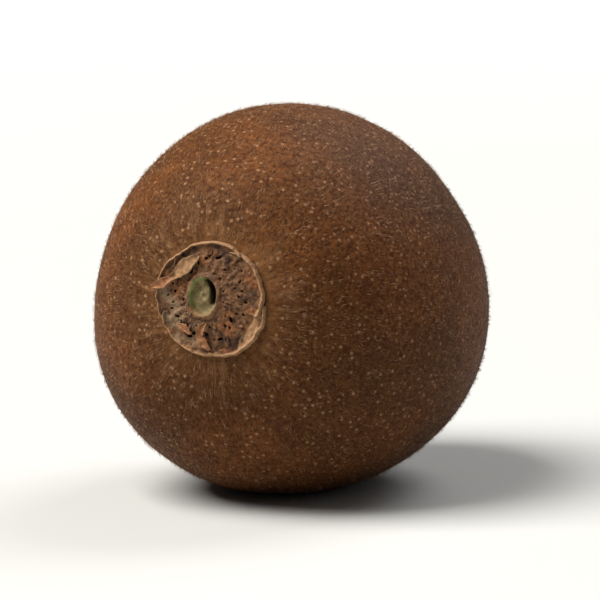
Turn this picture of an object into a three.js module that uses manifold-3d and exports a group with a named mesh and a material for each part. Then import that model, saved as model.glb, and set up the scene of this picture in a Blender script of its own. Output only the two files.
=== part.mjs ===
// A golden kiwi fruit as picked, lying on its side, in millimetres.
// +Z is up. The stem end, with its dried sepals, faces -Y and the blossom end faces +Y.
// The origin is on the surface that the fruit lies on, under the middle of its bounding box.
import * as THREE from "three";
import { mergeVertices } from "three/addons/utils/BufferGeometryUtils.js";
import Module from "manifold-3d";

const { degToRad, smoothstep, clamp, lerp } = THREE.MathUtils;

// The berry: a blunt ovoid, a little wider towards the stem
const LENGTH = 68.3;
const DIAMETER = 54;
const STEM_BLUNTNESS = 2.33; // 2 is a round end, and more is a flatter one
const BLOSSOM_BLUNTNESS = 2.1;
const BARREL = 2.12; // 2 is an ellipse along the fruit, and more is straighter flanks
const TAPER = 0.039; // share of the width gained at the stem and lost at the blossom end
const OVAL = 0.021; // shares by which the cross-section departs from a circle
const OVAL_ANGLE = degToRad(-6); // angles run from the top, towards +X
const TRIANGLE = 0.021;
const TRIANGLE_ANGLE = degToRad(113);

// How it lies: the stem end a little up, on a flat spot worn by its own weight
const TILT = degToRad(4.3);
const FLAT_DEPTH = 0.9;
const FLAT_BLEND = 0.25;

// The stem end: a shallow basin with the calyx in it, a little above the fruit's own axis
const CALYX_LIFT = 2.4;
const CALYX_SIDE = -0.25;
const SHIFT_FULL = 8; // radii between which the flank takes up that shift
const SHIFT_NONE = 26;
const BASIN_DEPTH = 0.9;
const BASIN_FLOOR = 6.5;
const BASIN_EDGE = 13;

// Five dried sepals, narrow at the root and touching at their turned-up rims
const SEPAL_REACHES = [7.6, 8.5, 8.1, 8.3, 8];
const SEPAL_TURN = degToRad(65); // where the middle of the first one points
const SEPAL_HALF_ANGLE = degToRad(43);
const SEPAL_CORNER = 0.07; // share of the reach that is missing at the corners
const SEPAL_ROOT_RADIUS = 2.4;
const SEPAL_ROOT_SHARE = 0.5;
const SEPAL_FULL_RADIUS = 6.4;
const SEPAL_THICKNESS = 0.6;
const SEPAL_CUP = 0.6; // rise from root to rim
const SEPAL_CUP_POWER = 5;
const SEPAL_LAP = 0.22; // one edge lies over the next sepal, the other under
const SEPAL_SIDE_EDGE = 0.9; // widths of the slopes at the sides and the rim
const SEPAL_RIM_EDGE = 0.5;

// The scar that the fruit stalk left: an oval socket inside a low collar, a little off the middle
const SOCKET_SIDE = -1.1;
const SOCKET_UP = 0.3;
const SOCKET_RADIUS = 2.45;
const SOCKET_DEPTH = 1.7;
const SOCKET_WALL = 0.9;
const SOCKET_OVAL = 0.13;
const SOCKET_ANGLE = degToRad(8);
const COLLAR_RADIUS = 2.85;
const COLLAR_HEIGHT = 0.8;
const COLLAR_WIDTH = 0.5;

// The blossom end: a low beak with a small crater
const BEAK_HEIGHT = 1.2;
const BEAK_WIDTH = 5;
const CRATER_DEPTH = 1;
const CRATER_RADIUS = 2.6;
const CRATER_WALL = 1.3;

// The dried styles, in two rings of short stubs that lean outwards
const STYLE_RINGS = [
  { count: 9, radius: 2.3, lean: degToRad(38) },
  { count: 5, radius: 1.1, lean: degToRad(16) },
];
const STYLE_LENGTH = 1.7;
const STYLE_LENGTH_CHANGE = 0.5;
const STYLE_ROOT = 1.6; // how far a stub is sunk in the fruit
const STYLE_RADIUS = 0.36;
const STYLE_TIP_RADIUS = 0.24;
const STYLE_SIDES = 5;
const STYLE_WANDER = degToRad(12);
const SEED = 7;

// The mesh: fine rings at both ends, wide ones along the flanks
const SEGMENTS = 72;
const FINE_STEP = 0.42;
const RING_GROWTH = 0.16; // a wide ring's share of its radius
const STEM_FINE_RADIUS = 9;
const STEM_END_RADIUS = 21;
const BLOSSOM_FINE_RADIUS = 4.2;
const BLOSSOM_END_RADIUS = 17;
const FLANK_RINGS = 15;
const BISECTIONS = 40;
const MERGE_DISTANCE = 1e-4;

const HALF_LENGTH = LENGTH / 2;
const HALF_WIDTH = DIAMETER / 2;

const wasm = await Module();
wasm.setup();

// A repeatable random number from 0 to 1, by the Mulberry32 rule
function randomSource(seed) {
  let state = seed;
  return () => {
    state = (state + 0x6d2b79f5) | 0;
    let mixed = Math.imul(state ^ (state >>> 15), 1 | state);
    mixed = (mixed + Math.imul(mixed ^ (mixed >>> 7), 61 | mixed)) ^ mixed;
    return ((mixed ^ (mixed >>> 14)) >>> 0) / 2 ** 32;
  };
}

// The turn from one angle to another, between -PI and PI
function turnTo(angle, centre) {
  const turn = angle - centre;
  return turn - 2 * Math.PI * Math.round(turn / (2 * Math.PI));
}

// A smooth hump of height 1 at the middle
const hump = (distance, width) => Math.exp(-((distance / width) ** 2));

// The profile's radius, where along is 1 at the stem end and -1 at the blossom end
function profileRadius(along) {
  const bluntness = along > 0 ? STEM_BLUNTNESS : BLOSSOM_BLUNTNESS;
  const ellipse = (1 - Math.abs(along) ** BARREL) ** (1 / bluntness);
  return HALF_WIDTH * ellipse * (1 + TAPER * along);
}

// Where along the profile a radius is reached, on the side of one end: 1 for the stem, -1 for the blossom
function alongAt(radius, end) {
  let inner = 0.3;
  let outer = 1;
  for (let i = 0; i < BISECTIONS; i++) {
    const middle = (inner + outer) / 2;
    if (profileRadius(end * middle) > radius) inner = middle;
    else outer = middle;
  }
  return (end * (inner + outer)) / 2;
}

// Ring radii from the pole outwards: even steps over the fine zone, then growing ones
function ringRadii(fineRadius, lastRadius) {
  const radii = [];
  let radius = FINE_STEP;
  while (radius < lastRadius) {
    radii.push(radius);
    radius += radius < fineRadius ? FINE_STEP : RING_GROWTH * radius;
  }
  return radii;
}

// The berry's outline from pole to pole, as radius and distance along the axis
function profile() {
  const point = (along, radius) => new THREE.Vector2(radius, -HALF_LENGTH * along);
  const stem = ringRadii(STEM_FINE_RADIUS, STEM_END_RADIUS);
  const blossom = ringRadii(BLOSSOM_FINE_RADIUS, BLOSSOM_END_RADIUS);
  const stemAlong = alongAt(STEM_END_RADIUS, 1);
  const blossomAlong = alongAt(BLOSSOM_END_RADIUS, -1);
  const points = [point(1, 0)];
  for (const radius of stem) points.push(point(alongAt(radius, 1), radius));
  for (let i = 0; i <= FLANK_RINGS; i++) {
    const from = Math.acos(stemAlong);
    const along = Math.cos(lerp(from, Math.acos(blossomAlong), i / FLANK_RINGS));
    points.push(point(along, profileRadius(along)));
  }
  for (const radius of blossom.reverse()) points.push(point(alongAt(radius, -1), radius));
  points.push(point(-1, 0));
  return points;
}

// How far the cross-section stands out from a circle, at an angle from the top
function lobes(angle) {
  const oval = OVAL * Math.cos(2 * (angle - OVAL_ANGLE));
  return 1 + oval + TRIANGLE * Math.cos(3 * (angle - TRIANGLE_ANGLE));
}

// Height over the basin of the sepal with the given reach and middle, or 0 outside its outline
function sepalHeight(reach, middle, radius, angle) {
  const across = turnTo(angle, middle) / SEPAL_HALF_ANGLE;
  const rim = reach * (1 - SEPAL_CORNER * across ** 4);
  const growth = clamp((radius - SEPAL_ROOT_RADIUS) / (SEPAL_FULL_RADIUS - SEPAL_ROOT_RADIUS), 0, 1);
  const halfWidth = lerp(SEPAL_ROOT_SHARE, 1, growth);
  const fromSide = (halfWidth - Math.abs(across)) * SEPAL_HALF_ANGLE * radius;
  const fromRim = rim - radius + SEPAL_RIM_EDGE / 2;
  const inside = smoothstep(fromSide, 0, SEPAL_SIDE_EDGE) * smoothstep(fromRim, 0, SEPAL_RIM_EDGE);
  const cup = SEPAL_CUP * Math.min(radius / rim, 1) ** SEPAL_CUP_POWER;
  return inside * (SEPAL_THICKNESS + cup + SEPAL_LAP * across * growth);
}

// The five sepals together: the highest one counts where they overlap
function calyxHeight(radius, angle) {
  const spacing = (2 * Math.PI) / SEPAL_REACHES.length;
  const heights = SEPAL_REACHES.map((reach, i) => sepalHeight(reach, SEPAL_TURN + i * spacing, radius, angle));
  return Math.max(...heights);
}

// Distance from the middle of the oval stalk scar, the same all along any one oval
function scarDistance(across, up) {
  const angle = Math.atan2(across - SOCKET_SIDE, up - SOCKET_UP);
  const stretch = 1 - SOCKET_OVAL * Math.cos(2 * (angle - SOCKET_ANGLE));
  return stretch * Math.hypot(across - SOCKET_SIDE, up - SOCKET_UP);
}

// What stands out of the stem end, along the axis: basin, sepals, collar and socket
function stemRelief(across, up) {
  const radius = Math.hypot(across, up);
  const scar = scarDistance(across, up);
  const basin = -BASIN_DEPTH * (1 - smoothstep(radius, BASIN_FLOOR, BASIN_EDGE));
  const sepals = calyxHeight(radius, Math.atan2(across, up));
  const collar = COLLAR_HEIGHT * hump(scar - COLLAR_RADIUS, COLLAR_WIDTH);
  const socket = SOCKET_DEPTH * (1 - smoothstep(scar, SOCKET_RADIUS - SOCKET_WALL, SOCKET_RADIUS));
  return basin + Math.max(sepals, collar) - socket;
}

// What stands out of the blossom end, along the axis: a beak with a crater
function blossomRelief(radius) {
  const beak = BEAK_HEIGHT * hump(radius, BEAK_WIDTH);
  return beak - CRATER_DEPTH * (1 - smoothstep(radius, CRATER_RADIUS - CRATER_WALL, CRATER_RADIUS));
}

// Moves a point of the plain lathe to its place on the real, uneven fruit
function shapePoint(point) {
  const radius = Math.hypot(point.x, point.z);
  const angle = Math.atan2(point.x, point.z);
  const atStem = point.y < 0;
  const shift = atStem ? 1 - smoothstep(radius, SHIFT_FULL, SHIFT_NONE) : 0;
  const relief = atStem ? -stemRelief(point.x, point.z) : blossomRelief(radius);
  const spread = lobes(angle);
  point.set(
    point.x * spread + CALYX_SIDE * shift,
    point.y + relief,
    point.z * spread + CALYX_LIFT * shift,
  );
}

// Applies a move, written as a change of one Vector3, to every vertex
function reshape(geometry, move) {
  const position = geometry.getAttribute("position");
  const point = new THREE.Vector3();
  for (let i = 0; i < position.count; i++) {
    point.fromBufferAttribute(position, i);
    move(point);
    position.setXYZ(i, point.x, point.y, point.z);
  }
  return geometry;
}

// A closed three.js mesh as a solid that can be joined
function solidOf(geometry) {
  const bare = new THREE.BufferGeometry();
  bare.setAttribute("position", geometry.getAttribute("position"));
  bare.setIndex(geometry.index);
  const merged = mergeVertices(bare, MERGE_DISTANCE);
  const vertProperties = new Float32Array(merged.getAttribute("position").array);
  const triVerts = new Uint32Array(merged.index.array);
  return new wasm.Manifold(new wasm.Mesh({ numProp: 3, vertProperties, triVerts }));
}

// A solid as a three.js mesh again
function geometryOf(solid) {
  const mesh = solid.getMesh();
  const geometry = new THREE.BufferGeometry();
  geometry.setAttribute("position", new THREE.BufferAttribute(new Float32Array(mesh.vertProperties), 3));
  geometry.setIndex(new THREE.BufferAttribute(new Uint32Array(mesh.triVerts), 1));
  return geometry;
}

// The berry with its sepals and its stalk scar, still upright on its own axis
function berry() {
  return solidOf(reshape(new THREE.LatheGeometry(profile(), SEGMENTS), shapePoint));
}

// One dried style: a stub rooted in the crater at a radius and angle, leaning out from the axis
function styleStub(radius, angle, lean, length) {
  const stub = new THREE.CylinderGeometry(STYLE_TIP_RADIUS, STYLE_RADIUS, length + STYLE_ROOT, STYLE_SIDES);
  stub.translate(0, (length - STYLE_ROOT) / 2, 0);
  stub.rotateX(lean);
  stub.rotateY(angle);
  const foot = HALF_LENGTH + BEAK_HEIGHT - CRATER_DEPTH;
  stub.translate(radius * Math.sin(angle), foot, radius * Math.cos(angle));
  return solidOf(stub);
}

// All the dried styles, each a little different
function styleStubs() {
  const random = randomSource(SEED);
  const stubs = [];
  for (const ring of STYLE_RINGS) {
    for (let i = 0; i < ring.count; i++) {
      const angle = ((i + 0.5 * random()) * 2 * Math.PI) / ring.count;
      const lean = ring.lean + STYLE_WANDER * (random() - 0.5);
      const length = STYLE_LENGTH + STYLE_LENGTH_CHANGE * (random() - 0.5);
      stubs.push(styleStub(ring.radius, angle, lean, length));
    }
  }
  return stubs;
}

// Lays the fruit down: the stem end rises by the tilt, and the underside is pressed flat at height 0
function layDown(geometry) {
  geometry.rotateX(-TILT);
  geometry.computeBoundingBox();
  geometry.translate(0, 0, -geometry.boundingBox.min.z - FLAT_DEPTH);
  reshape(geometry, (point) => {
    const press = clamp((point.z + FLAT_BLEND) / (2 * FLAT_BLEND), 0, 1);
    if (press < 1) point.z = FLAT_BLEND * press * press;
  });
  geometry.computeBoundingBox();
  const middle = geometry.boundingBox.getCenter(new THREE.Vector3());
  return geometry.translate(-middle.x, -middle.y, 0);
}

function makeFruit() {
  const whole = styleStubs().reduce((joined, stub) => joined.add(stub), berry());
  const geometry = layDown(geometryOf(whole));
  geometry.computeVertexNormals();
  const skin = new THREE.MeshStandardMaterial({ color: 0x7d5a3a, roughness: 0.75, metalness: 0 });
  const mesh = new THREE.Mesh(geometry, skin);
  mesh.name = "fruit";
  return mesh;
}

const kiwi = new THREE.Group();
kiwi.add(makeFruit());

export default kiwi;
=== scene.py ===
import math
import random

import bmesh
import bpy
from mathutils import Euler, Matrix, Vector, noise


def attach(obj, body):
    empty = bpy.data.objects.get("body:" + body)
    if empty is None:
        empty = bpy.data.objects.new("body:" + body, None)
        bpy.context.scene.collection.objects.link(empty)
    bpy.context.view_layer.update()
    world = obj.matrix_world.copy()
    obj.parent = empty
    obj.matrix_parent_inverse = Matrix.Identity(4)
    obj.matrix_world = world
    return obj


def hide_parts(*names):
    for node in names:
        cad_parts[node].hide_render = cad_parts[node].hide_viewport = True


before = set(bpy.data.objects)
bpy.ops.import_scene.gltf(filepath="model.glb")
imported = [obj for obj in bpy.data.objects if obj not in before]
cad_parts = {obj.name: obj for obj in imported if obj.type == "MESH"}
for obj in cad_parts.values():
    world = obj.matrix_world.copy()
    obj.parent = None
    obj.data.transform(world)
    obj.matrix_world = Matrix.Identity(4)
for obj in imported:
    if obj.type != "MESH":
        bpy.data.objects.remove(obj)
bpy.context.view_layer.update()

# Skin
# The berry under its thin, dry, matte skin: a blunt ovoid, a little wider towards the stem, whose
# cross-section is slightly oval and three-sided. It lies on its side with the stem end raised by a
# few degrees, and its own weight presses a small flat spot on the underside.
MM = 0.001  # sizes are in mm, and colours are given as they look, from 0 to 255
HALF_LENGTH = 34.15
HALF_WIDTH = 27.0
STEM_BLUNTNESS = 2.33
BLOSSOM_BLUNTNESS = 2.1
BARREL = 2.12
TAPER = 0.039
OVAL = 0.021
OVAL_ANGLE = math.radians(-6)  # angles run from the top, towards +X
TRIANGLE = 0.021
TRIANGLE_ANGLE = math.radians(113)
CALYX_SIDE = -0.25  # how far the stem end's middle is off the berry's own axis
CALYX_LIFT = 2.4
CALYX_SHIFT = (8.0, 26.0)  # the skin follows fully inside the first radius, not at all past the other
BASIN_DEPTH = 0.9
BASIN_SLOPE = (6.5, 13.0)
BEAK_HEIGHT = 1.2
BEAK_WIDTH = 5.0
CRATER_DEPTH = 1.0
CRATER_SLOPE = (1.3, 2.6)
TILT = math.radians(4.3)
BERRY_MIDDLE = Vector((-0.21, -1.1, 26.11))  # in the frame
FLAT_BLEND = 0.25
SKIN_SEGMENTS = 320
SKIN_RINGS = 210
SOCKET_SIDE = -1.1  # how far the stalk scar's middle is off the calyx's
SOCKET_UP = 0.3
SCAR_BED_DEPTH = 3.0  # of the hole that the stalk scar sits in
SCAR_BED_SLOPE = (1.7, 2.9)
HOLLOW_DEPTH = 0.5  # of the hollow under the sepals
HOLLOW_SLOPE = (5.6, 7.2)
WRINKLE_HEIGHT = 0.16
WRINKLE_SLOPE = (8.5, 17.0)
WRINKLE_WAVES = 9
WRINKLE_DRIFT = 0.24  # how much the wrinkles change with each mm outwards
SOFT_DENTS = (0.14, 11)  # height and breadth
SMALL_DENTS = (0.06, 4)
END_FLATNESS = 0.62  # keeps the dents' outward way from turning too far along the berry
SKIN_TONES = ((87, 54, 26), (109, 65, 31))
PATCH_BROWN = (70, 37, 15)
STREAK_BROWN = (72, 39, 17)
GRAIN_BROWN = (46, 21, 6)
FINE_DOT_TAN = (134, 98, 68)
DASH_TAN = (158, 120, 87)
ROUND_DOT_TAN = (184, 142, 106)
HALO_TAN = (132, 92, 56)
FIBRE_TAN = (146, 106, 70)
# painted shade under the sepals
UNDER_SEPALS_PAINTED_SHADE = (46, 27, 16)
CRATER_BROWN = (40, 24, 14)


def smooth_step(value, low, high):
    """0 up to the low value, 1 from the high one, and a smooth slope between them"""
    share = min(max((value - low) / (high - low), 0.0), 1.0)
    return share * share * (3 - 2 * share)


def hump(distance, width):
    """A smooth hump of height 1 at the middle"""
    return math.exp(-((distance / width) ** 2))


def lay_down(point):
    """From the berry's own axes in mm to the frame in metres, with the underside pressed flat"""
    laid = Matrix.Rotation(-TILT, 3, "X") @ point + BERRY_MIDDLE
    press = min(max((laid.z + FLAT_BLEND) / (2 * FLAT_BLEND), 0.0), 1.0)
    if press < 1:
        laid.z = FLAT_BLEND * press * press
    return laid * MM


def basin(radius):
    """Depth of the shallow basin round the calyx"""
    return BASIN_DEPTH * (1 - smooth_step(radius, *BASIN_SLOPE))


def wrinkles(radius, angle):
    """Height of the fine puckers that run out from the calyx"""
    fade = 1 - smooth_step(radius, *WRINKLE_SLOPE)
    across = WRINKLE_WAVES * math.sin(angle)
    up = WRINKLE_WAVES * math.cos(angle)
    place = Vector((across, up, WRINKLE_DRIFT * radius))
    return WRINKLE_HEIGHT * fade * noise.noise(place)


def berry_point(along, angle):
    """A point of the skin on the berry's own axes: along is 1 at the stem and -1 at the blossom"""
    bluntness = STEM_BLUNTNESS if along > 0 else BLOSSOM_BLUNTNESS
    girth = max(1 - abs(along) ** BARREL, 0.0) ** (1 / bluntness)
    radius = HALF_WIDTH * girth * (1 + TAPER * along)
    oval = OVAL * math.cos(2 * (angle - OVAL_ANGLE))
    spread = 1 + oval + TRIANGLE * math.cos(3 * (angle - TRIANGLE_ANGLE))
    across = radius * spread * math.sin(angle)
    up = radius * spread * math.cos(angle)
    point = Vector((across, -HALF_LENGTH * along, up))
    outward = Vector((point.x, END_FLATNESS * point.y, point.z)).normalized()
    uneven = sum(height * noise.noise(point / breadth) for height, breadth in (SOFT_DENTS, SMALL_DENTS))
    if along > 0:
        shift = 1 - smooth_step(radius, *CALYX_SHIFT)
        point += shift * Vector((CALYX_SIDE, 0, CALYX_LIFT))
        from_scar = math.hypot(
            radius * math.sin(angle) - SOCKET_SIDE,
            radius * math.cos(angle) - SOCKET_UP,
        )
        bed = SCAR_BED_DEPTH * (1 - smooth_step(from_scar, *SCAR_BED_SLOPE))
        hollow = HOLLOW_DEPTH * (1 - smooth_step(radius, *HOLLOW_SLOPE))
        point.y += basin(radius) + max(bed, hollow)
        uneven += wrinkles(radius, angle)
    else:
        crater = CRATER_DEPTH * (1 - smooth_step(radius, *CRATER_SLOPE))
        point.y += BEAK_HEIGHT * hump(radius, BEAK_WIDTH) - crater
    return point + uneven * outward


def linear(red, green, blue):
    """A colour given as it looks, 0 to 255, as the shader's own numbers"""
    return (*(((value / 255 + 0.055) / 1.055) ** 2.4 for value in (red, green, blue)), 1)


def add_node(tree, kind, inputs=(), **settings):
    """A shader node, with each input given as a value or as the socket that feeds it"""
    made = tree.nodes.new(kind)
    for name, value in settings.items():
        setattr(made, name, value)
    for key, value in dict(inputs).items():
        if isinstance(value, bpy.types.NodeSocket):
            tree.links.new(value, made.inputs[key])
        else:
            made.inputs[key].default_value = value
    return made


def math_node(tree, operation, *values):
    """A sum, product or other function of one or two numbers"""
    return add_node(tree, "ShaderNodeMath", enumerate(values), operation=operation).outputs[0]


def mix_colours(tree, share, first, second):
    """One colour over another, by a share from 0 to 1"""
    inputs = {0: share, 6: first, 7: second}
    return add_node(tree, "ShaderNodeMix", inputs, data_type="RGBA", clamp_result=True).outputs[2]


def blend_tones(tree, share, tones):
    """A blend from the first of two tones to the second"""
    return mix_colours(tree, share, linear(*tones[0]), linear(*tones[1]))


def slope(tree, value, low, high, start=0.0, end=1.0):
    """A number that goes smoothly from start to end while the value goes from low to high"""
    inputs = {"Value": value, "From Min": low, "From Max": high, "To Min": start, "To Max": end}
    made = add_node(tree, "ShaderNodeMapRange", inputs, interpolation_type="SMOOTHSTEP")
    return made.outputs["Result"]


def cloud(tree, place, scale, detail=3.0, roughness=0.5):
    """A cloudy pattern from 0 to 1, with clouds about 1/scale metres apart"""
    inputs = {"Vector": place, "Scale": scale, "Detail": detail, "Roughness": roughness}
    return add_node(tree, "ShaderNodeTexNoise", inputs).outputs["Fac"]


def axis_place(tree):
    """Object coordinates turned and moved to the berry's own axes, in metres"""
    where = add_node(tree, "ShaderNodeTexCoord").outputs["Object"]
    inputs = {"Vector": where, "Location": BERRY_MIDDLE * MM, "Rotation": (-TILT, 0, 0)}
    return add_node(tree, "ShaderNodeMapping", inputs, vector_type="TEXTURE").outputs["Vector"]


def start_material(name, roughness):
    """A new matte material: its node tree, and the shader that its nodes feed"""
    material = bpy.data.materials.new(name)
    material.use_nodes = True
    shader = material.node_tree.nodes["Principled BSDF"]
    shader.inputs["Roughness"].default_value = roughness
    return material, material.node_tree, shader


def place_piece(name, bm, material):
    """Makes a bmesh, in the frame's metres, a smooth piece that rides on the fruit's one body"""
    mesh = bpy.data.meshes.new(name)
    bm.to_mesh(mesh)
    bm.free()
    mesh.shade_smooth()
    mesh.materials.append(material)
    piece = bpy.data.objects.new(name, mesh)
    bpy.context.collection.objects.link(piece)
    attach(piece, "root")
    return piece


def fix_order(bm):
    """Puts corners and faces in the same order in each run, which merging doubles leaves to chance"""
    verts_by_place = sorted(bm.verts, key=lambda vert: tuple(vert.co))
    for number, vert in enumerate(verts_by_place):
        vert.index = number
    bm.verts.sort()
    faces_by_place = sorted(bm.faces, key=lambda face: sorted(tuple(vert.co) for vert in face.verts))
    for number, face in enumerate(faces_by_place):
        face.index = number
    bm.faces.sort()


def vector_node(tree, operation, *vectors, output="Vector"):
    """A sum, product or other function of vectors, or the number that it gives"""
    made = add_node(tree, "ShaderNodeVectorMath", enumerate(vectors), operation=operation)
    return made.outputs[output]


def dots(tree, place, scale, core, edge, share):
    """Dots in about that share of a pattern's cells, each as strong as chance makes it"""
    cells = add_node(tree, "ShaderNodeTexVoronoi", {"Vector": place, "Scale": scale})
    chance = add_node(tree, "ShaderNodeSeparateColor", {"Color": cells.outputs["Color"]}).outputs["Red"]
    shape = slope(tree, cells.outputs["Distance"], core, edge, 1.0, 0.0)
    return math_node(tree, "MULTIPLY", shape, slope(tree, chance, 1 - share, 1.15 - share / 2))


def skin_material():
    """Matte brown skin: mottled and grainy, with tan dots, lengthwise dashes and fibres at the stem"""
    material, tree, shader = start_material("kiwi_skin", 0.6)
    place = axis_place(tree)
    across, along, up = add_node(tree, "ShaderNodeSeparateXYZ", {"Vector": place}).outputs
    flat = add_node(tree, "ShaderNodeCombineXYZ", {"X": across, "Z": up}).outputs[0]
    radius = vector_node(tree, "LENGTH", flat, output="Value")
    way_round = vector_node(tree, "NORMALIZE", flat)
    polar = math_node(tree, "ARCTAN2", radius, math_node(tree, "MULTIPLY", along, -1.0))

    # Dashes, streaks and fibres lie on a net of places round the berry and distances from the stem
    from_stem = math_node(tree, "MULTIPLY", polar, 0.5)
    down_axis = add_node(tree, "ShaderNodeCombineXYZ", {"Y": from_stem}).outputs[0]
    net = vector_node(tree, "ADD", way_round, down_axis)
    near_stem = slope(tree, radius, 0.013, 0.017, 1.0, 0.0)
    wide_dashes = dots(tree, net, 62.0, 0.1, 0.34, 0.5)
    stem_dashes = dots(tree, net, 34.0, 0.1, 0.34, 0.7)
    dashes = add_node(tree, "ShaderNodeMix", {0: near_stem, 2: wide_dashes, 3: stem_dashes}).outputs[0]
    streaks = cloud(tree, net, 26.0, 5.0, 0.6)
    fibres = slope(tree, cloud(tree, net, 13.0, 4.0, 0.6), 0.46, 0.64)

    blotches = cloud(tree, place, 62.0, 4.0, 0.55)
    patches = cloud(tree, place, 260.0, 4.0, 0.6)
    grain = cloud(tree, place, 1700.0, 5.0, 0.65)
    round_dots = dots(tree, place, 1000.0, 0.1, 0.34, 0.8)
    fine_dots = dots(tree, place, 2300.0, 0.12, 0.4, 0.6)

    base = blend_tones(tree, slope(tree, blotches, 0.38, 0.62), SKIN_TONES)
    base = mix_colours(tree, slope(tree, patches, 0.42, 0.72, 0.0, 0.55), base, linear(*PATCH_BROWN))
    base = mix_colours(tree, slope(tree, streaks, 0.45, 0.75, 0.0, 0.4), base, linear(*STREAK_BROWN))
    base = mix_colours(tree, slope(tree, grain, 0.32, 0.62, 0.8, 0.0), base, linear(*GRAIN_BROWN))
    base = mix_colours(tree, math_node(tree, "MULTIPLY", fine_dots, 0.34), base, linear(*FINE_DOT_TAN))
    base = mix_colours(tree, math_node(tree, "MULTIPLY", dashes, 0.38), base, linear(*DASH_TAN))
    base = mix_colours(tree, math_node(tree, "MULTIPLY", round_dots, 0.46), base, linear(*ROUND_DOT_TAN))

    # A paler, fibrous halo round the calyx, painted shade under the sepals, and a darker brown in and
    # round the blossom's crater
    calyx_middle = (CALYX_SIDE * MM, -HALF_LENGTH * MM, CALYX_LIFT * MM)
    from_calyx = vector_node(tree, "DISTANCE", place, calyx_middle, output="Value")
    halo = slope(tree, from_calyx, 0.008, 0.0115, 0.26, 0.0)
    base = mix_colours(tree, halo, base, linear(*HALO_TAN))
    fibres = math_node(tree, "MULTIPLY", fibres, slope(tree, from_calyx, 0.0085, 0.0165, 0.36, 0.0))
    base = mix_colours(tree, fibres, base, linear(*FIBRE_TAN))
    # Painted shade: the skin darkens under the sepals, where they shade it, out to just past their rim
    painted_shade_under_sepals = slope(tree, from_calyx, 0.0068, 0.008, 0.9, 0.0)
    base = mix_colours(tree, painted_shade_under_sepals, base, linear(*UNDER_SEPALS_PAINTED_SHADE))
    blossom_middle = (0, (HALF_LENGTH + BEAK_HEIGHT) * MM, 0)
    from_blossom = vector_node(tree, "DISTANCE", place, blossom_middle, output="Value")
    in_crater = slope(tree, from_blossom, 0.0022, 0.0042, 0.8, 0.0)
    base = mix_colours(tree, in_crater, base, linear(*CRATER_BROWN))
    tree.links.new(base, shader.inputs["Base Color"])
    tree.links.new(slope(tree, grain, 0.3, 0.7, 0.72, 0.56), shader.inputs["Roughness"])
    shader.inputs["Specular IOR Level"].default_value = 0.07

    height = math_node(tree, "ADD", grain, math_node(tree, "MULTIPLY", streaks, 0.9))
    height = math_node(tree, "ADD", height, math_node(tree, "MULTIPLY", round_dots, 0.5))
    height = math_node(tree, "ADD", height, math_node(tree, "MULTIPLY", dashes, 0.3))
    bump = add_node(tree, "ShaderNodeBump", {"Strength": 0.75, "Distance": 0.00016, "Height": height})
    tree.links.new(bump.outputs["Normal"], shader.inputs["Normal"])
    return material


skin_bm = bmesh.new()
poles_on_y = Matrix.Rotation(math.pi / 2, 4, "X")
bmesh.ops.create_uvsphere(
    skin_bm, u_segments=SKIN_SEGMENTS, v_segments=SKIN_RINGS, radius=1, matrix=poles_on_y
)
for vert in skin_bm.verts:
    along = min(max(-vert.co.y, -1.0), 1.0)
    vert.co = lay_down(berry_point(along, math.atan2(vert.co.x, vert.co.z)))
fix_order(skin_bm)
skin = place_piece("skin", skin_bm, skin_material())
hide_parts("fruit")

# Stalk scar
# The oval socket that the stalk broke out of: a low corky collar, a pale green wall and a greenish
# tan floor with a small ring of dry pith, which falls away deeper at the upper right, where its floor
# and wall are painted dark as shade. It is sunk into a hole of the berry, a little off the calyx's middle.
SCAR_PROFILE = (  # distance from the scar's middle, height over the basin
    (0.0, -0.52), (0.22, -0.55), (0.42, -0.36), (0.62, -0.3), (0.82, -0.46), (1.1, -0.62), (1.5, -0.66),
    (1.8, -0.6), (1.98, -0.35), (2.1, 0.05), (2.22, 0.45), (2.36, 0.64), (2.56, 0.68), (2.82, 0.58),
    (3.08, 0.3), (3.3, -0.1), (3.4, -0.6), (2.7, -2.3), (1.2, -3.0), (0.0, -3.0),
)
SCAR_STEPS = 96
SOCKET_OVAL = 0.13
SOCKET_ANGLE = math.radians(8)
LEDGE_MIDDLE = (-1.68, -0.1)  # of the round ledge, past which the floor falls away
LEDGE_EDGE = (2.4, 2.85)
DEEP_END = (-1.4, -0.5)  # the deep side fades out between these heights
DEEPER_BY = 1.4
SOCKET_WALL = (1.9, 2.2)
UNDERSIDE = -2  # the profile's points below this height close the piece inside the berry
FLOOR_TONES = ((114, 98, 64), (158, 140, 98))
# Painted shade on the floor of the socket's deep side
DEEP_SIDE_PAINTED_SHADE = (30, 19, 11)
WALL_TONES = ((114, 122, 70), (150, 156, 98))
LOWER_WALL_TAN = (124, 96, 62)
# Painted shade on the wall of the socket's deep side
SHADED_WALL_BROWN = (56, 38, 24)
COLLAR_TONES = ((84, 55, 34), (126, 88, 58))
CORK_SPECK_BROWN = (60, 40, 24)


def stem_end(across, up, height):
    """A place in the frame: across and up from the calyx's middle, at a height over the basin"""
    radius = math.hypot(across, up)
    full_width = HALF_WIDTH * (1 + TAPER)
    share_left = 1 - (radius / full_width) ** STEM_BLUNTNESS
    fall = HALF_LENGTH * (1 - share_left ** (1 / BARREL))
    along = fall + basin(radius) - HALF_LENGTH - height
    return lay_down(Vector((CALYX_SIDE + across, along, CALYX_LIFT + up)))


def scar_oval(distance, angle):
    """Across and up of a point on the oval at a distance from the stalk scar's middle"""
    reach = distance * (1 + SOCKET_OVAL * math.cos(2 * (angle - SOCKET_ANGLE)))
    return SOCKET_SIDE + reach * math.sin(angle), SOCKET_UP + reach * math.cos(angle)


def add_relief(tree, shader, height, strength, distance):
    """A fine relief from a pattern"""
    inputs = {"Strength": strength, "Distance": distance, "Height": height}
    tree.links.new(add_node(tree, "ShaderNodeBump", inputs).outputs["Normal"], shader.inputs["Normal"])


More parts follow.
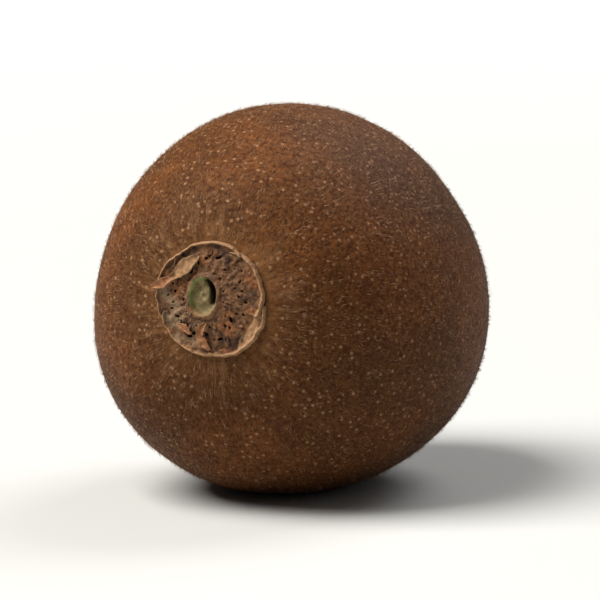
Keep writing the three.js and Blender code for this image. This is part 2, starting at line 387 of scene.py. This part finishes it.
def scar_material():
    """Corky brown outside, green on the wall, greenish tan on the floor, and painted shade on the deep
    side
    """
    material, tree, shader = start_material("stalk_scar", 0.7)
    place = axis_place(tree)
    middle = ((CALYX_SIDE + SOCKET_SIDE) * MM, 0, (CALYX_LIFT + SOCKET_UP) * MM)
    centred = vector_node(tree, "SUBTRACT", place, middle)
    socket = vector_node(tree, "MULTIPLY", centred, (1 + SOCKET_OVAL, 0, 1 - SOCKET_OVAL))
    distance = vector_node(tree, "LENGTH", socket, output="Value")
    ledge_middle = (LEDGE_MIDDLE[0] * MM, 0, LEDGE_MIDDLE[1] * MM)
    off_ledge = vector_node(tree, "DISTANCE", socket, ledge_middle, output="Value")
    upward = add_node(tree, "ShaderNodeSeparateXYZ", {"Vector": socket}).outputs["Z"]
    deep_side = slope(tree, upward, DEEP_END[0] * MM, DEEP_END[1] * MM)
    mottle = cloud(tree, place, 900.0, 4.0, 0.6)
    fine = cloud(tree, place, 3500.0, 3.0, 0.6)

    ground = blend_tones(tree, slope(tree, mottle, 0.35, 0.65), FLOOR_TONES)
    # Painted shade: the floor past the ledge on the deep side is darkened
    deep = math_node(tree, "MULTIPLY", deep_side, slope(tree, off_ledge, 0.0024, 0.0027, 0.0, 0.95))
    ground = mix_colours(tree, deep, ground, linear(*DEEP_SIDE_PAINTED_SHADE))
    wall = blend_tones(tree, slope(tree, mottle, 0.3, 0.7), WALL_TONES)
    low = slope(tree, upward, -0.0017, -0.0006, 0.85, 0.0)
    wall = mix_colours(tree, low, wall, linear(*LOWER_WALL_TAN))
    # Painted shade: the wall on the deep side, past the ledge, is darkened
    shaded = math_node(tree, "MULTIPLY", deep_side, slope(tree, off_ledge, 0.0026, 0.0033, 0.0, 0.9))
    wall = mix_colours(tree, shaded, wall, linear(*SHADED_WALL_BROWN))
    collar = blend_tones(tree, slope(tree, mottle, 0.35, 0.65), COLLAR_TONES)
    base = mix_colours(tree, slope(tree, distance, 0.00188, 0.00208), ground, wall)
    base = mix_colours(tree, slope(tree, distance, 0.0022, 0.0025), base, collar)
    base = mix_colours(tree, slope(tree, fine, 0.5, 0.7, 0.0, 0.5), base, linear(*CORK_SPECK_BROWN))
    tree.links.new(base, shader.inputs["Base Color"])
    shader.inputs["Specular IOR Level"].default_value = 0.3
    relief = math_node(tree, "ADD", mottle, math_node(tree, "MULTIPLY", fine, 0.5))
    add_relief(tree, shader, relief, 0.7, 0.00018)
    return material


scar = bmesh.new()
profile = [scar.verts.new((distance, 0, height)) for distance, height in SCAR_PROFILE]
lines = [scar.edges.new(pair) for pair in zip(profile, profile[1:])]
bmesh.ops.spin(
    scar, geom=profile + lines, axis=(0, 0, 1), angle=math.tau, steps=SCAR_STEPS, use_merge=True
)
bmesh.ops.remove_doubles(scar, verts=scar.verts, dist=0.001)
bmesh.ops.subdivide_edges(scar, edges=scar.edges, cuts=1, use_grid_fill=True)
for vert in scar.verts:
    angle = math.atan2(vert.co.x, vert.co.y)
    distance = math.hypot(vert.co.x, vert.co.y)
    rough = 0.1 * noise.noise(1.3 * vert.co) + 0.05 * noise.noise(3.5 * vert.co)
    across, up = scar_oval(distance * (1 + 0.5 * rough), angle)
    off_ledge = math.hypot(vert.co.x - LEDGE_MIDDLE[0], vert.co.y - LEDGE_MIDDLE[1])
    deep = smooth_step(off_ledge, *LEDGE_EDGE) * smooth_step(vert.co.y, *DEEP_END)
    inside = 1 - smooth_step(distance, *SOCKET_WALL)
    drop = DEEPER_BY * deep * inside * (vert.co.z > UNDERSIDE)
    vert.co = stem_end(across, up, vert.co.z + rough - drop)
bmesh.ops.recalc_face_normals(scar, faces=scar.faces)
fix_order(scar)
place_piece("stalk_scar", scar, scar_material())

# Sepals
# The five dried sepals that stay on the fruit: thin, papery, crinkled blades, each narrow where it
# grows from the foot of the stalk scar and broad at its rolled-up rim. The rims meet in a ring, and
# the worn blades are full of small holes.
SEPAL_REACHES = (7.75, 8.35, 8.1, 8.3, 8.0)
SEPAL_TURN = math.radians(65)  # where the middle of the first one points
SEPAL_HALF_ANGLE = math.radians(43)
SEPAL_CORNER = 0.07  # how much of its reach a blade loses at its two corners
SEPAL_ROOT_SHARE = 0.84
SEPAL_ROOT_DISTANCE = 2.75
SEPAL_THICKNESS = 0.22
SEPAL_GRID = (56, 52)
SEPAL_REST = 0.34  # height of the blade over the basin
SEPAL_RIM_RISE = 0.25
SEPAL_ROLL_HEIGHT = 0.42
SEPAL_ROLL_INSET = 0.3
SEPAL_ROLL_WIDTH = 0.22
SEPAL_LAP = 0.16  # how far one side lies over and the other under its neighbour
SEPAL_TEAR = 0.5  # the blade is torn open where its cloudy pattern is over this
SEPAL_WHOLE = (0.08, 0.78)  # it stays whole nearer to its root and its rim than these shares
SEPAL_RIM_DROP = 0.4  # the rolled rim turns down to the skin again within the next width
SEPAL_RIM_DROP_WIDTH = 0.25
SEPAL_SMOOTHINGS = 4
BROAD_RIM_ANGLE = math.radians(125)  # where the rim is a broad tan band
GREY_SIDE_ANGLE = math.radians(237)  # where the blades are bleached to a greyish tan
PAPER_TONES = ((54, 33, 19), (104, 71, 45))
RUSTY_BROWN = (124, 77, 42)
BLEACHED_TAN = (138, 114, 88)
PAPER_FIBRE_TAN = (128, 94, 63)
RIM_TAN = (158, 120, 86)
PAPER_SPECK_BROWN = (44, 25, 12)


def sepal_torn(number, side, share):
    """Whether the blade is open at a place given by its side, -1 to 1, and its share of the reach"""
    pattern = noise.noise(Vector((6.5 * side, 7.0 * share, 7.3 * number + 2)))
    pattern += 0.6 * noise.noise(Vector((15.0 * side, 15.0 * share, 5.1 * number)))
    limit = SEPAL_TEAR + 0.5 * smooth_step(share, 0.55, SEPAL_WHOLE[1])
    return SEPAL_WHOLE[0] < share < SEPAL_WHOLE[1] and pattern > limit


def sepal_place(number, side, share):
    """Where that place of the blade lies in the frame"""
    width = SEPAL_ROOT_SHARE + (1 - SEPAL_ROOT_SHARE) * smooth_step(share, 0.1, 0.75)
    angle = SEPAL_TURN + number * math.tau / 5 + side * SEPAL_HALF_ANGLE * width
    ragged = 0.16 * noise.noise(Vector((5.5 * side, number, 0.5)))
    ragged += 0.07 * noise.noise(Vector((16 * side, number, 4)))
    rim = SEPAL_REACHES[number] * (1 - SEPAL_CORNER * side ** 4) + ragged
    root = scar_oval(SEPAL_ROOT_DISTANCE, angle)
    across = (1 - share) * root[0] + share * rim * math.sin(angle)
    up = (1 - share) * root[1] + share * rim * math.cos(angle)
    inset = rim - math.hypot(across, up)
    height = SEPAL_REST + SEPAL_RIM_RISE * share ** 3 + SEPAL_LAP * side * smooth_step(share, 0.2, 0.8)
    uneven = 1 + 0.5 * noise.noise(Vector((6 * side, number, 8)))
    height += SEPAL_ROLL_HEIGHT * uneven * hump(inset - SEPAL_ROLL_INSET, SEPAL_ROLL_WIDTH)
    height -= SEPAL_RIM_DROP * (1 - smooth_step(inset, 0.0, SEPAL_RIM_DROP_WIDTH))
    height += 0.17 * noise.noise(Vector((7 * angle, 0.55 * inset, 3.1 * number)))
    height += 0.2 * noise.noise(Vector((1.3 * across, 1.3 * up, number)))
    height += 0.14 * noise.noise(Vector((2.9 * across, 2.9 * up, number)))
    return stem_end(across, up, height)


def keep_largest_part(bm):
    """Takes out loose scraps and the corners where two faces only touch at a point"""
    pinched = [vert for vert in bm.verts if sum(edge.is_boundary for edge in vert.link_edges) > 2]
    bmesh.ops.delete(bm, geom=pinched, context="VERTS")
    parts, left = [], set(bm.verts)
    while left:
        part = [left.pop()]
        for vert in part:
            for edge in vert.link_edges:
                other = edge.other_vert(vert)
                if other in left:
                    left.remove(other)
                    part.append(other)
        parts.append(part)
    parts.sort(key=len)
    bmesh.ops.delete(bm, geom=[vert for part in parts[:-1] for vert in part], context="VERTS")


def hole_edges(blade):
    """The corners along the holes of a blade that is still a flat square"""
    inner = [vert for vert in blade.verts if max(abs(vert.co.x), abs(vert.co.y)) < 0.99]
    return [vert for vert in inner if vert.is_boundary]


def give_thickness(piece, thickness, offset):
    """Gives a thin sheet its thickness in mm, and rounds it off"""
    body = piece.modifiers.new("body", "SOLIDIFY")
    body.thickness = thickness * MM
    body.offset = offset
    round_off = piece.modifiers.new("round_off", "SUBSURF")
    round_off.levels = round_off.render_levels = 1


def sepal_material():
    """Dry brown paper: mottled, rusty and bleached in places, with radial fibres and a tan rim"""
    material, tree, shader = start_material("dried_sepal", 0.8)
    place = axis_place(tree)
    middle = (CALYX_SIDE * MM, -HALF_LENGTH * MM, CALYX_LIFT * MM)
    centred = vector_node(tree, "SUBTRACT", place, middle)
    from_middle = vector_node(tree, "LENGTH", centred, output="Value")
    outward = vector_node(tree, "NORMALIZE", vector_node(tree, "MULTIPLY", centred, (1, 0, 1)))
    stretched = math_node(tree, "MULTIPLY", from_middle, 90.0)
    reach = add_node(tree, "ShaderNodeCombineXYZ", {"Y": stretched}).outputs[0]
    fibres = cloud(tree, vector_node(tree, "ADD", outward, reach), 9.0, 4.0, 0.6)
    mottle = cloud(tree, place, 620.0, 4.0, 0.6)
    specks = cloud(tree, place, 2600.0, 3.0, 0.6)

    # The sheet's own map says how near the rim a place is, and the rim is broader on one side
    own_map = add_node(tree, "ShaderNodeUVMap", uv_map="sheet").outputs["UV"]
    share = add_node(tree, "ShaderNodeSeparateXYZ", {"Vector": own_map}).outputs["Y"]
    broad_way = (math.sin(BROAD_RIM_ANGLE), 0, math.cos(BROAD_RIM_ANGLE))
    to_broad = vector_node(tree, "DOT_PRODUCT", outward, broad_way, output="Value")
    broad = slope(tree, to_broad, 0.9, 0.97, 0.0, 0.16)
    rim = slope(tree, math_node(tree, "ADD", share, broad), 0.88, 0.94, 0.0, 0.85)

    grey_way = (math.sin(GREY_SIDE_ANGLE), 0, math.cos(GREY_SIDE_ANGLE))
    to_grey = vector_node(tree, "DOT_PRODUCT", outward, grey_way, output="Value")
    bleached = slope(tree, cloud(tree, place, 300.0, 4.0, 0.6), 0.4, 0.58, 0.0, 0.75)
    bleached = math_node(tree, "MULTIPLY", bleached, slope(tree, to_grey, 0.5, 0.85))
    rusty = slope(tree, cloud(tree, place, 380.0), 0.5, 0.64, 0.0, 0.8)
    base = blend_tones(tree, slope(tree, mottle, 0.36, 0.6), PAPER_TONES)
    base = mix_colours(tree, rusty, base, linear(*RUSTY_BROWN))
    base = mix_colours(tree, bleached, base, linear(*BLEACHED_TAN))
    base = mix_colours(tree, slope(tree, fibres, 0.5, 0.72, 0.0, 0.55), base, linear(*PAPER_FIBRE_TAN))
    base = mix_colours(tree, rim, base, linear(*RIM_TAN))
    base = mix_colours(tree, slope(tree, specks, 0.5, 0.68, 0.0, 0.5), base, linear(*PAPER_SPECK_BROWN))
    tree.links.new(base, shader.inputs["Base Color"])
    shader.inputs["Specular IOR Level"].default_value = 0.25
    relief = math_node(tree, "ADD", fibres, math_node(tree, "MULTIPLY", specks, 0.6))
    add_relief(tree, shader, relief, 0.7, 0.0002)
    return material


dried_sepal = sepal_material()
for number in range(len(SEPAL_REACHES)):
    blade = bmesh.new()
    blade.loops.layers.uv.new("sheet")
    bmesh.ops.create_grid(
        blade, x_segments=SEPAL_GRID[0], y_segments=SEPAL_GRID[1], size=1, calc_uvs=True
    )
    torn = []
    for face in blade.faces:
        centre = face.calc_center_median()
        if sepal_torn(number, centre.x, (centre.y + 1) / 2):
            torn.append(face)
    bmesh.ops.delete(blade, geom=torn, context="FACES")
    keep_largest_part(blade)
    for _ in range(SEPAL_SMOOTHINGS):
        bmesh.ops.smooth_vert(
            blade, verts=hole_edges(blade), factor=0.5, use_axis_x=True, use_axis_y=True
        )
    for vert in blade.verts:
        vert.co = sepal_place(number, vert.co.x, (vert.co.y + 1) / 2)
    sepal = place_piece(f"sepal_{number + 1}", blade, dried_sepal)
    give_thickness(sepal, SEPAL_THICKNESS, -1)

# Torn flakes
# Strips of the sepals' pale inner skin that came loose. The largest lies over the rim on the left,
# where its tip is orange-tan and curls up, and two short ones lie below the stalk scar.
FLAKES = (  # for each its path from the calyx's middle, half widths and heights over the basin
    (
        ((-1.9, 5.9), (-3.2, 4.8), (-4.6, 3.5), (-5.9, 2.6), (-7.2, 1.8), (-8.7, 1.25)),
        (0.3, 1.0, 0.85, 0.4, 0.75, 0.2),
        (0.7, 0.95, 0.9, 0.85, 1.2, 1.0),
    ),
    (
        ((-0.5, -3.3), (-1.2, -4.2), (-1.4, -5.2), (-0.7, -6.1), (0.0, -7.0)),
        (0.25, 0.6, 0.45, 0.65, 0.2),
        (0.7, 0.95, 0.8, 0.95, 0.8),
    ),
    (
        ((-4.6, -3.7), (-3.6, -4.1), (-2.7, -4.9)),
        (0.2, 0.55, 0.15),
        (0.7, 0.85, 0.7),
    ),
)
FLAKE_GRID = (10, 60)
FLAKE_THICKNESS = 0.14
FLAKE_CURL = 0.25  # how far its two sides stand up
HEADING_REACH = 0.08  # how far ahead and behind its direction is taken
FLAKE_PALE_TONES = ((112, 80, 52), (150, 113, 77))
FLAKE_TAN_TONES = ((116, 74, 45), (152, 104, 68))


def at_share(values, share):
    """The value at a share of the way along a row of them, smoothly between neighbours"""
    place = min(share, 0.9999) * (len(values) - 1)
    first = int(place)
    blend = smooth_step(place - first, 0, 1)
    return values[first] * (1 - blend) + values[first + 1] * blend


def flake_material():
    """Fibrous paper: pale on the largest flake, and orange-tan on its tip and on the other two"""
    material, tree, shader = start_material("torn_flake", 0.75)
    place = axis_place(tree)
    across, _, up = add_node(tree, "ShaderNodeSeparateXYZ", {"Vector": place}).outputs
    fibres = cloud(tree, place, 1400.0, 4.0, 0.6)
    pale = blend_tones(tree, slope(tree, fibres, 0.35, 0.65), FLAKE_PALE_TONES)
    tan = blend_tones(tree, slope(tree, fibres, 0.35, 0.65), FLAKE_TAN_TONES)
    pale_share = slope(tree, across, -0.0066, -0.0055)
    pale_share = math_node(tree, "MULTIPLY", pale_share, slope(tree, up, 0.003, 0.006))
    base = mix_colours(tree, pale_share, tan, pale)
    tree.links.new(base, shader.inputs["Base Color"])
    shader.inputs["Specular IOR Level"].default_value = 0.3
    add_relief(tree, shader, fibres, 0.6, 0.00015)
    return material


dry_flake = flake_material()
for number, (path, half_widths, heights) in enumerate(FLAKES):
    strip = bmesh.new()
    bmesh.ops.create_grid(strip, x_segments=FLAKE_GRID[0], y_segments=FLAKE_GRID[1], size=1)
    spine = [Vector(point) for point in path]
    for vert in strip.verts:
        side, share = vert.co.x, (vert.co.y + 1) / 2
        ahead = at_share(spine, min(share + HEADING_REACH, 1))
        behind = at_share(spine, max(share - HEADING_REACH, 0))
        heading = (ahead - behind).normalized()
        half = at_share(half_widths, share) * (1 + 0.35 * noise.noise(Vector((9 * share, side, number))))
        spot = at_share(spine, share) + Vector((-heading.y, heading.x)) * side * half
        crinkle = 0.14 * noise.noise(Vector((1.4 * spot.x, 1.4 * spot.y, 9)))
        height = at_share(heights, share) + FLAKE_CURL * side ** 2 + crinkle
        vert.co = stem_end(spot.x, spot.y, height)
    flake = place_piece(f"torn_flake_{number + 1}", strip, dry_flake)
    give_thickness(flake, FLAKE_THICKNESS, 0)

# Crumbs
# Broken bits of dry sepal and cork, which came loose as the calyx dried. They lie caught in its
# holes and between its blades, from the stalk scar to the rim.
CRUMB_COUNT = 60
CRUMB_SIZES = (0.1, 0.3)
CRUMB_STRETCH = ((0.7, 2.0), (0.6, 1.2), (0.35, 0.7))
CRUMB_RING = (3.3, 7.0)
CRUMB_HEIGHTS = (0.25, 0.6)
CRUMB_TONES = ((72, 43, 26), (122, 82, 53))


def crumb_material():
    """Reddish to tan dry tissue, different from bit to bit"""
    material, tree, shader = start_material("dry_crumb", 0.85)
    place = axis_place(tree)
    tone = slope(tree, cloud(tree, place, 1100.0), 0.35, 0.65)
    tree.links.new(blend_tones(tree, tone, CRUMB_TONES), shader.inputs["Base Color"])
    add_relief(tree, shader, cloud(tree, place, 5000.0), 0.6, 0.0001)
    return material


def join_in(whole, part):
    """Adds a finished bmesh to the one that holds the whole piece"""
    mesh = bpy.data.meshes.new("part")
    part.to_mesh(mesh)
    part.free()
    whole.from_mesh(mesh)
    bpy.data.meshes.remove(mesh)


crumb_draw = random.Random(11)
crumbs = bmesh.new()
for _ in range(CRUMB_COUNT):
    crumb = bmesh.new()
    bmesh.ops.create_icosphere(crumb, subdivisions=2, radius=1)
    size = crumb_draw.uniform(*CRUMB_SIZES)
    shape = Matrix.Diagonal([crumb_draw.uniform(*stretch) for stretch in CRUMB_STRETCH])
    turn = Euler([crumb_draw.uniform(0, math.tau) for _ in range(3)]).to_matrix() @ shape
    angle = crumb_draw.uniform(0, math.tau)
    ring = crumb_draw.uniform(*CRUMB_RING)
    height = crumb_draw.uniform(*CRUMB_HEIGHTS)
    spot = stem_end(ring * math.sin(angle), ring * math.cos(angle), height)
    for vert in crumb.verts:
        knobby = vert.co * (1 + 0.45 * noise.noise(1.6 * vert.co + 20 * spot / MM))
        vert.co = turn @ knobby * size * MM + spot
    join_in(crumbs, crumb)
place_piece("calyx_crumbs", crumbs, crumb_material())

# Styles
# The stubs of the dried styles in the crater of the blossom end's beak: dark, curled and brittle.
# They grew from the berry, stand in three rings and lean outwards.
STYLE_RINGS = ((14, 1.35, 46), (9, 0.85, 30), (4, 0.35, 12))  # how many, ring radius, lean in degrees
STYLE_LENGTHS = (1.1, 2.0)
STYLE_WIDTHS = (0.2, 0.32)
STYLE_ROOT = 0.6  # how far each reaches down into the berry
STYLE_STRAY = 0.25  # how far each is off its even place, as a share of the gap
STYLE_LEAN_STRAY = 12
STYLE_CURLS = (-0.5, 0.7)
STYLE_CUTS = 7
CRATER_FLOOR = HALF_LENGTH + BEAK_HEIGHT - CRATER_DEPTH
STYLE_TONES = ((40, 24, 14), (86, 54, 32))
STYLE_TIP_TAN = (128, 92, 62)


def style_material():
    """Dark brown, dried-up threads with paler ends"""
    material, tree, shader = start_material("dried_style", 0.7)
    place = axis_place(tree)
    along = add_node(tree, "ShaderNodeSeparateXYZ", {"Vector": place}).outputs["Y"]
    grain = cloud(tree, place, 2200.0, 4.0, 0.6)
    base = blend_tones(tree, slope(tree, grain, 0.35, 0.65), STYLE_TONES)
    shader.inputs["Specular IOR Level"].default_value = 0.2
    tip = slope(tree, along, (CRATER_FLOOR + 0.7) * MM, (CRATER_FLOOR + 2.0) * MM, 0.0, 0.6)
    tree.links.new(mix_colours(tree, tip, base, linear(*STYLE_TIP_TAN)), shader.inputs["Base Color"])
    add_relief(tree, shader, grain, 0.7, 0.00012)
    return material


style_draw = random.Random(5)
styles = bmesh.new()
for count, ring, ring_lean in STYLE_RINGS:
    for number in range(count):
        length = style_draw.uniform(*STYLE_LENGTHS)
        width = style_draw.uniform(*STYLE_WIDTHS)
        around = math.tau * (number + style_draw.uniform(-STYLE_STRAY, STYLE_STRAY)) / count
        lean = math.radians(ring_lean + style_draw.uniform(-STYLE_LEAN_STRAY, STYLE_LEAN_STRAY))
        curl = style_draw.uniform(*STYLE_CURLS)
        stub = bmesh.new()
        bmesh.ops.create_cone(
            stub, cap_ends=True, segments=8, radius1=width, radius2=0.55 * width, depth=length + STYLE_ROOT
        )
        bmesh.ops.translate(stub, verts=stub.verts, vec=(0, 0, (length - STYLE_ROOT) / 2))
        sides = [edge for edge in stub.edges if abs(edge.verts[0].co.z - edge.verts[1].co.z) > 0.1]
        bmesh.ops.subdivide_edges(stub, edges=sides, cuts=STYLE_CUTS)
        stand = Euler((-lean, 0, -around)).to_matrix()
        foot = Vector((ring * math.sin(around), ring * math.cos(around), 0))
        for vert in stub.verts:
            knot = noise.noise(Vector((2.2 * vert.co.z, around * 3, 1)))
            knot += 0.4 * noise.noise(3 * vert.co)
            vert.co.y += curl * max(vert.co.z, 0) ** 2 / length + 0.06 * knot
            vert.co.x += 0.1 * knot
            spot = stand @ vert.co + foot
            vert.co = lay_down(Vector((spot.x, CRATER_FLOOR + spot.z, spot.y)))
        bmesh.ops.recalc_face_normals(stub, faces=stub.faces)
        join_in(styles, stub)
place_piece("styles", styles, style_material())

# Down
# Short, stiff, tan hairs on the skin. They lie low and point away from the stem, and stand closer
# together round the calyx. A shorter, finer down grows between them.
HAIR_BEND = 1.6  # how many of its widths a hair's middle bows away from the skin
HAIR_SPREAD = 24  # how far the hairs turn off the lengthwise way, in degrees
HAIR_ROOT = 0.03  # how deep it is set in the skin
CALYX_CLEAR = 8.4  # no hair grows nearer to the calyx's middle than this
FLOOR_CLEAR = 0.9  # nor lower than this
DOWN_CLUMPING = 0.9
CLUMP_SIZE = 5
CALYX_CROWDING = 1.6  # how much closer together the hairs stand at the calyx
CROWDING_FADE = (9.5, 18)
CALYX_AT = stem_end(0, 0, 0)
HAIR_TONES = ((86, 54, 32), (166, 130, 100))


def hair_material():
    """Tan hairs, some golden and some brown"""
    material, tree, shader = start_material("hair", 0.6)
    tone = slope(tree, cloud(tree, axis_place(tree), 900.0, 2.0), 0.42, 0.62)
    shader.inputs["Specular IOR Level"].default_value = 0.12
    tree.links.new(blend_tones(tree, tone, HAIR_TONES), shader.inputs["Base Color"])
    return material


def one_hair(bent):
    """A closed, tapered, three-sided hair, 1 long and 1 wide, that stands on the origin"""
    spike = bmesh.new()
    bmesh.ops.create_cone(spike, cap_ends=True, segments=3, radius1=0.5, radius2=0, depth=1)
    bmesh.ops.remove_doubles(spike, verts=spike.verts, dist=0.0001)
    bmesh.ops.translate(spike, verts=spike.verts, vec=(0, 0, 0.5))
    if bent:
        sides = [edge for edge in spike.edges if abs(edge.verts[0].co.z - edge.verts[1].co.z) > 0.1]
        bmesh.ops.subdivide_edges(spike, edges=sides, cuts=1)
        for vert in spike.verts:
            vert.co.x += HAIR_BEND * math.sin(math.pi * vert.co.z)
    mesh = bpy.data.meshes.new("hair")
    spike.to_mesh(mesh)
    spike.free()
    return mesh


def skin_patches():
    """The skin's faces: the corners of each from the leftmost on, its middle and its outward way"""
    patches = []
    for face in skin.data.polygons:
        ring = [skin.data.vertices[index].co.copy() for index in face.vertices]
        first = ring.index(min(ring, key=tuple))
        ring = ring[first:] + ring[:first]
        across = (ring[2] - ring[0]).cross(ring[-1] - ring[1])
        patches.append((ring, sum(ring, Vector()) / len(ring), across))
    return patches


def grow_down(name, count, lengths, widths, leans, bent, seed):
    """Hairs on the skin: lengths and widths in mm, leans off the skin in degrees"""
    draw = random.Random(seed)
    spike = one_hair(bent)
    weights = []
    for _, centre, across in patches:
        near = (centre - CALYX_AT).length / MM
        patchy = 1 + DOWN_CLUMPING * noise.noise(centre / MM / CLUMP_SIZE)
        closer = 1 + CALYX_CROWDING * (1 - smooth_step(near, *CROWDING_FADE))
        grows = near > CALYX_CLEAR and centre.z > FLOOR_CLEAR * MM
        weights.append(across.length * patchy * closer if grows else 0)
    coat = bmesh.new()
    for corners, _, across in draw.choices(patches, weights, k=count):
        low = corners[0].lerp(corners[1], draw.random())
        root = low.lerp(corners[-1].lerp(corners[-2], draw.random()), draw.random())
        normal = across.normalized()
        away = root - CALYX_AT
        flat = (away - normal * away.dot(normal)).normalized()
        flat.rotate(Matrix.Rotation(math.radians(draw.gauss(0, HAIR_SPREAD)), 3, normal))
        lean = math.radians(draw.uniform(*leans))
        tip_way = flat * math.cos(lean) + normal * math.sin(lean)
        back_way = (normal - tip_way * normal.dot(tip_way)).normalized()
        side_way = tip_way.cross(back_way)
        width = draw.uniform(*widths) * MM
        stand = Matrix((back_way * width, side_way * width, tip_way * draw.uniform(*lengths) * MM))
        stand = stand.transposed().to_4x4()
        stand.translation = root - normal * HAIR_ROOT * MM
        hair = spike.copy()
        hair.transform(stand)
        coat.from_mesh(hair)
        bpy.data.meshes.remove(hair)
    bpy.data.meshes.remove(spike)
    place_piece(name, coat, down_hair)


down_hair = hair_material()
patches = skin_patches()
grow_down(
    "down_long", count=13000, lengths=(0.6, 1.3), widths=(0.05, 0.08), leans=(12, 30), bent=True, seed=3
)
grow_down(
    "down_fine", count=16000, lengths=(0.3, 0.7), widths=(0.035, 0.055), leans=(18, 45), bent=False, seed=8
)

# Camera
# It looks down a little on the stem end from the right of the berry's axis, from far off, with a
# long lens, as in the photograph.
CAMERA_AZIMUTH = math.radians(20)
CAMERA_ELEVATION = math.radians(8.3)
CAMERA_DISTANCE = 0.787
FRUIT_SIZE_IN_VIEW = 0.0563
FRUIT_SHARE_OF_FRAME = 0.66
CAMERA_AIM = Vector((0, 0, 0.0262))

toward_camera = Vector((
    math.sin(CAMERA_AZIMUTH) * math.cos(CAMERA_ELEVATION),
    -math.cos(CAMERA_AZIMUTH) * math.cos(CAMERA_ELEVATION),
    math.sin(CAMERA_ELEVATION),
))
camera_data = bpy.data.cameras.new("camera")
camera_data.sensor_width = 36
camera_data.lens = camera_data.sensor_width * FRUIT_SHARE_OF_FRAME * CAMERA_DISTANCE / FRUIT_SIZE_IN_VIEW
camera_data.clip_start = 0.01
camera_data.clip_end = 100
camera = bpy.data.objects.new("camera", camera_data)
camera.location = CAMERA_AIM + CAMERA_DISTANCE * toward_camera
camera.rotation_euler = toward_camera.to_track_quat("Z", "Y").to_euler()
bpy.context.collection.objects.link(camera)
bpy.context.scene.camera = camera

# Light
# A large, soft, slightly warm lamp at the upper left in front, a weak one low on the right, and one
# behind that parts the fruit from the backdrop. A little even light comes from all round.
WORLD_TINT = (0.9, 0.92, 0.95, 1)
WORLD_STRENGTH = 0.07


def add_lamp(name, azimuth, elevation, distance, size, power, tint):
    """A square lamp aimed at the fruit, placed by two angles in degrees and a distance"""
    lamp_data = bpy.data.lights.new(name, "AREA")
    lamp_data.size = size
    lamp_data.energy = power
    lamp_data.color = tint
    lamp = bpy.data.objects.new(name, lamp_data)
    away = Euler((0, 0, math.radians(azimuth))).to_matrix() @ Vector((
        0,
        -math.cos(math.radians(elevation)),
        math.sin(math.radians(elevation)),
    ))
    lamp.location = CAMERA_AIM + distance * away
    lamp.rotation_euler = away.to_track_quat("Z", "Y").to_euler()
    bpy.context.collection.objects.link(lamp)


add_lamp("key_lamp", azimuth=-52, elevation=55, distance=1.6, size=1.1, power=56, tint=(1, 0.98, 0.94))
add_lamp("fill_lamp", azimuth=110, elevation=30, distance=1.8, size=1.2, power=2, tint=(1, 0.98, 0.95))
add_lamp("back_lamp", azimuth=160, elevation=45, distance=1.6, size=0.9, power=16, tint=(1, 1, 1))

world = bpy.data.worlds.new("studio")
world.use_nodes = True
world.node_tree.nodes["Background"].inputs["Color"].default_value = WORLD_TINT
world.node_tree.nodes["Background"].inputs["Strength"].default_value = WORLD_STRENGTH
bpy.context.scene.world = world
bpy.context.scene.view_settings.view_transform = "Standard"

# Floor
# A plain pale sheet, a little uneven in tone. Far out, where the lamps no longer reach, it glows as
# brightly as the backdrop, so that no horizon shows behind the fruit.
FLOOR_HALF = 12
PAPER_WHITES = ((0.50, 0.50, 0.49, 1), (0.53, 0.53, 0.51, 1))  # as the shader's own numbers
GLOW = 1.05
GLOW_TINT = (1, 1, 0.99, 1)
GLOW_START = 0.1
GLOW_FULL = 2.0


def stage_piece(name, bm, material):
    """Part of the studio, not of the fruit"""
    mesh = bpy.data.meshes.new(name)
    bm.to_mesh(mesh)
    bm.free()
    mesh.materials.append(material)
    piece = bpy.data.objects.new(name, mesh)
    bpy.context.collection.objects.link(piece)
    return piece


floor_material, floor_tree, floor_shader = start_material("floor_paper", 0.8)
floor_place = add_node(floor_tree, "ShaderNodeTexCoord").outputs["Object"]
floor_tone = mix_colours(floor_tree, cloud(floor_tree, floor_place, 3.0), *PAPER_WHITES)
floor_tree.links.new(floor_tone, floor_shader.inputs["Base Color"])
from_fruit = vector_node(floor_tree, "LENGTH", floor_place, output="Value")
glow = slope(floor_tree, from_fruit, GLOW_START, GLOW_FULL, 0.0, GLOW)
floor_shader.inputs["Emission Color"].default_value = GLOW_TINT
floor_tree.links.new(glow, floor_shader.inputs["Emission Strength"])
floor_bm = bmesh.new()
bmesh.ops.create_grid(floor_bm, x_segments=8, y_segments=8, size=FLOOR_HALF)
stage_piece("floor", floor_bm, floor_material)

# Backdrop
# A pale dome all round the floor, lit evenly and a little darker overhead. Only the camera sees it:
# it neither lights the fruit nor shades it.
DOME_RADIUS = 3.2
GLOW_OVERHEAD = 0.8  # as a share of the glow at the floor

dome_material, dome_tree, dome_shader = start_material("backdrop_paper", 1.0)
dome_place = add_node(dome_tree, "ShaderNodeTexCoord").outputs["Object"]
dome_up = add_node(dome_tree, "ShaderNodeSeparateXYZ", {"Vector": dome_place}).outputs["Z"]
dome_shader.inputs["Base Color"].default_value = (0, 0, 0, 1)
dome_shader.inputs["Emission Color"].default_value = GLOW_TINT
dome_glow = slope(dome_tree, dome_up, 0.0, DOME_RADIUS, GLOW, GLOW_OVERHEAD * GLOW)
dome_tree.links.new(dome_glow, dome_shader.inputs["Emission Strength"])
dome_bm = bmesh.new()
bmesh.ops.create_uvsphere(dome_bm, u_segments=64, v_segments=32, radius=DOME_RADIUS)
bmesh.ops.reverse_faces(dome_bm, faces=dome_bm.faces)
backdrop = stage_piece("backdrop", dome_bm, dome_material)
backdrop.visible_diffuse = False
backdrop.visible_glossy = False
backdrop.visible_shadow = False
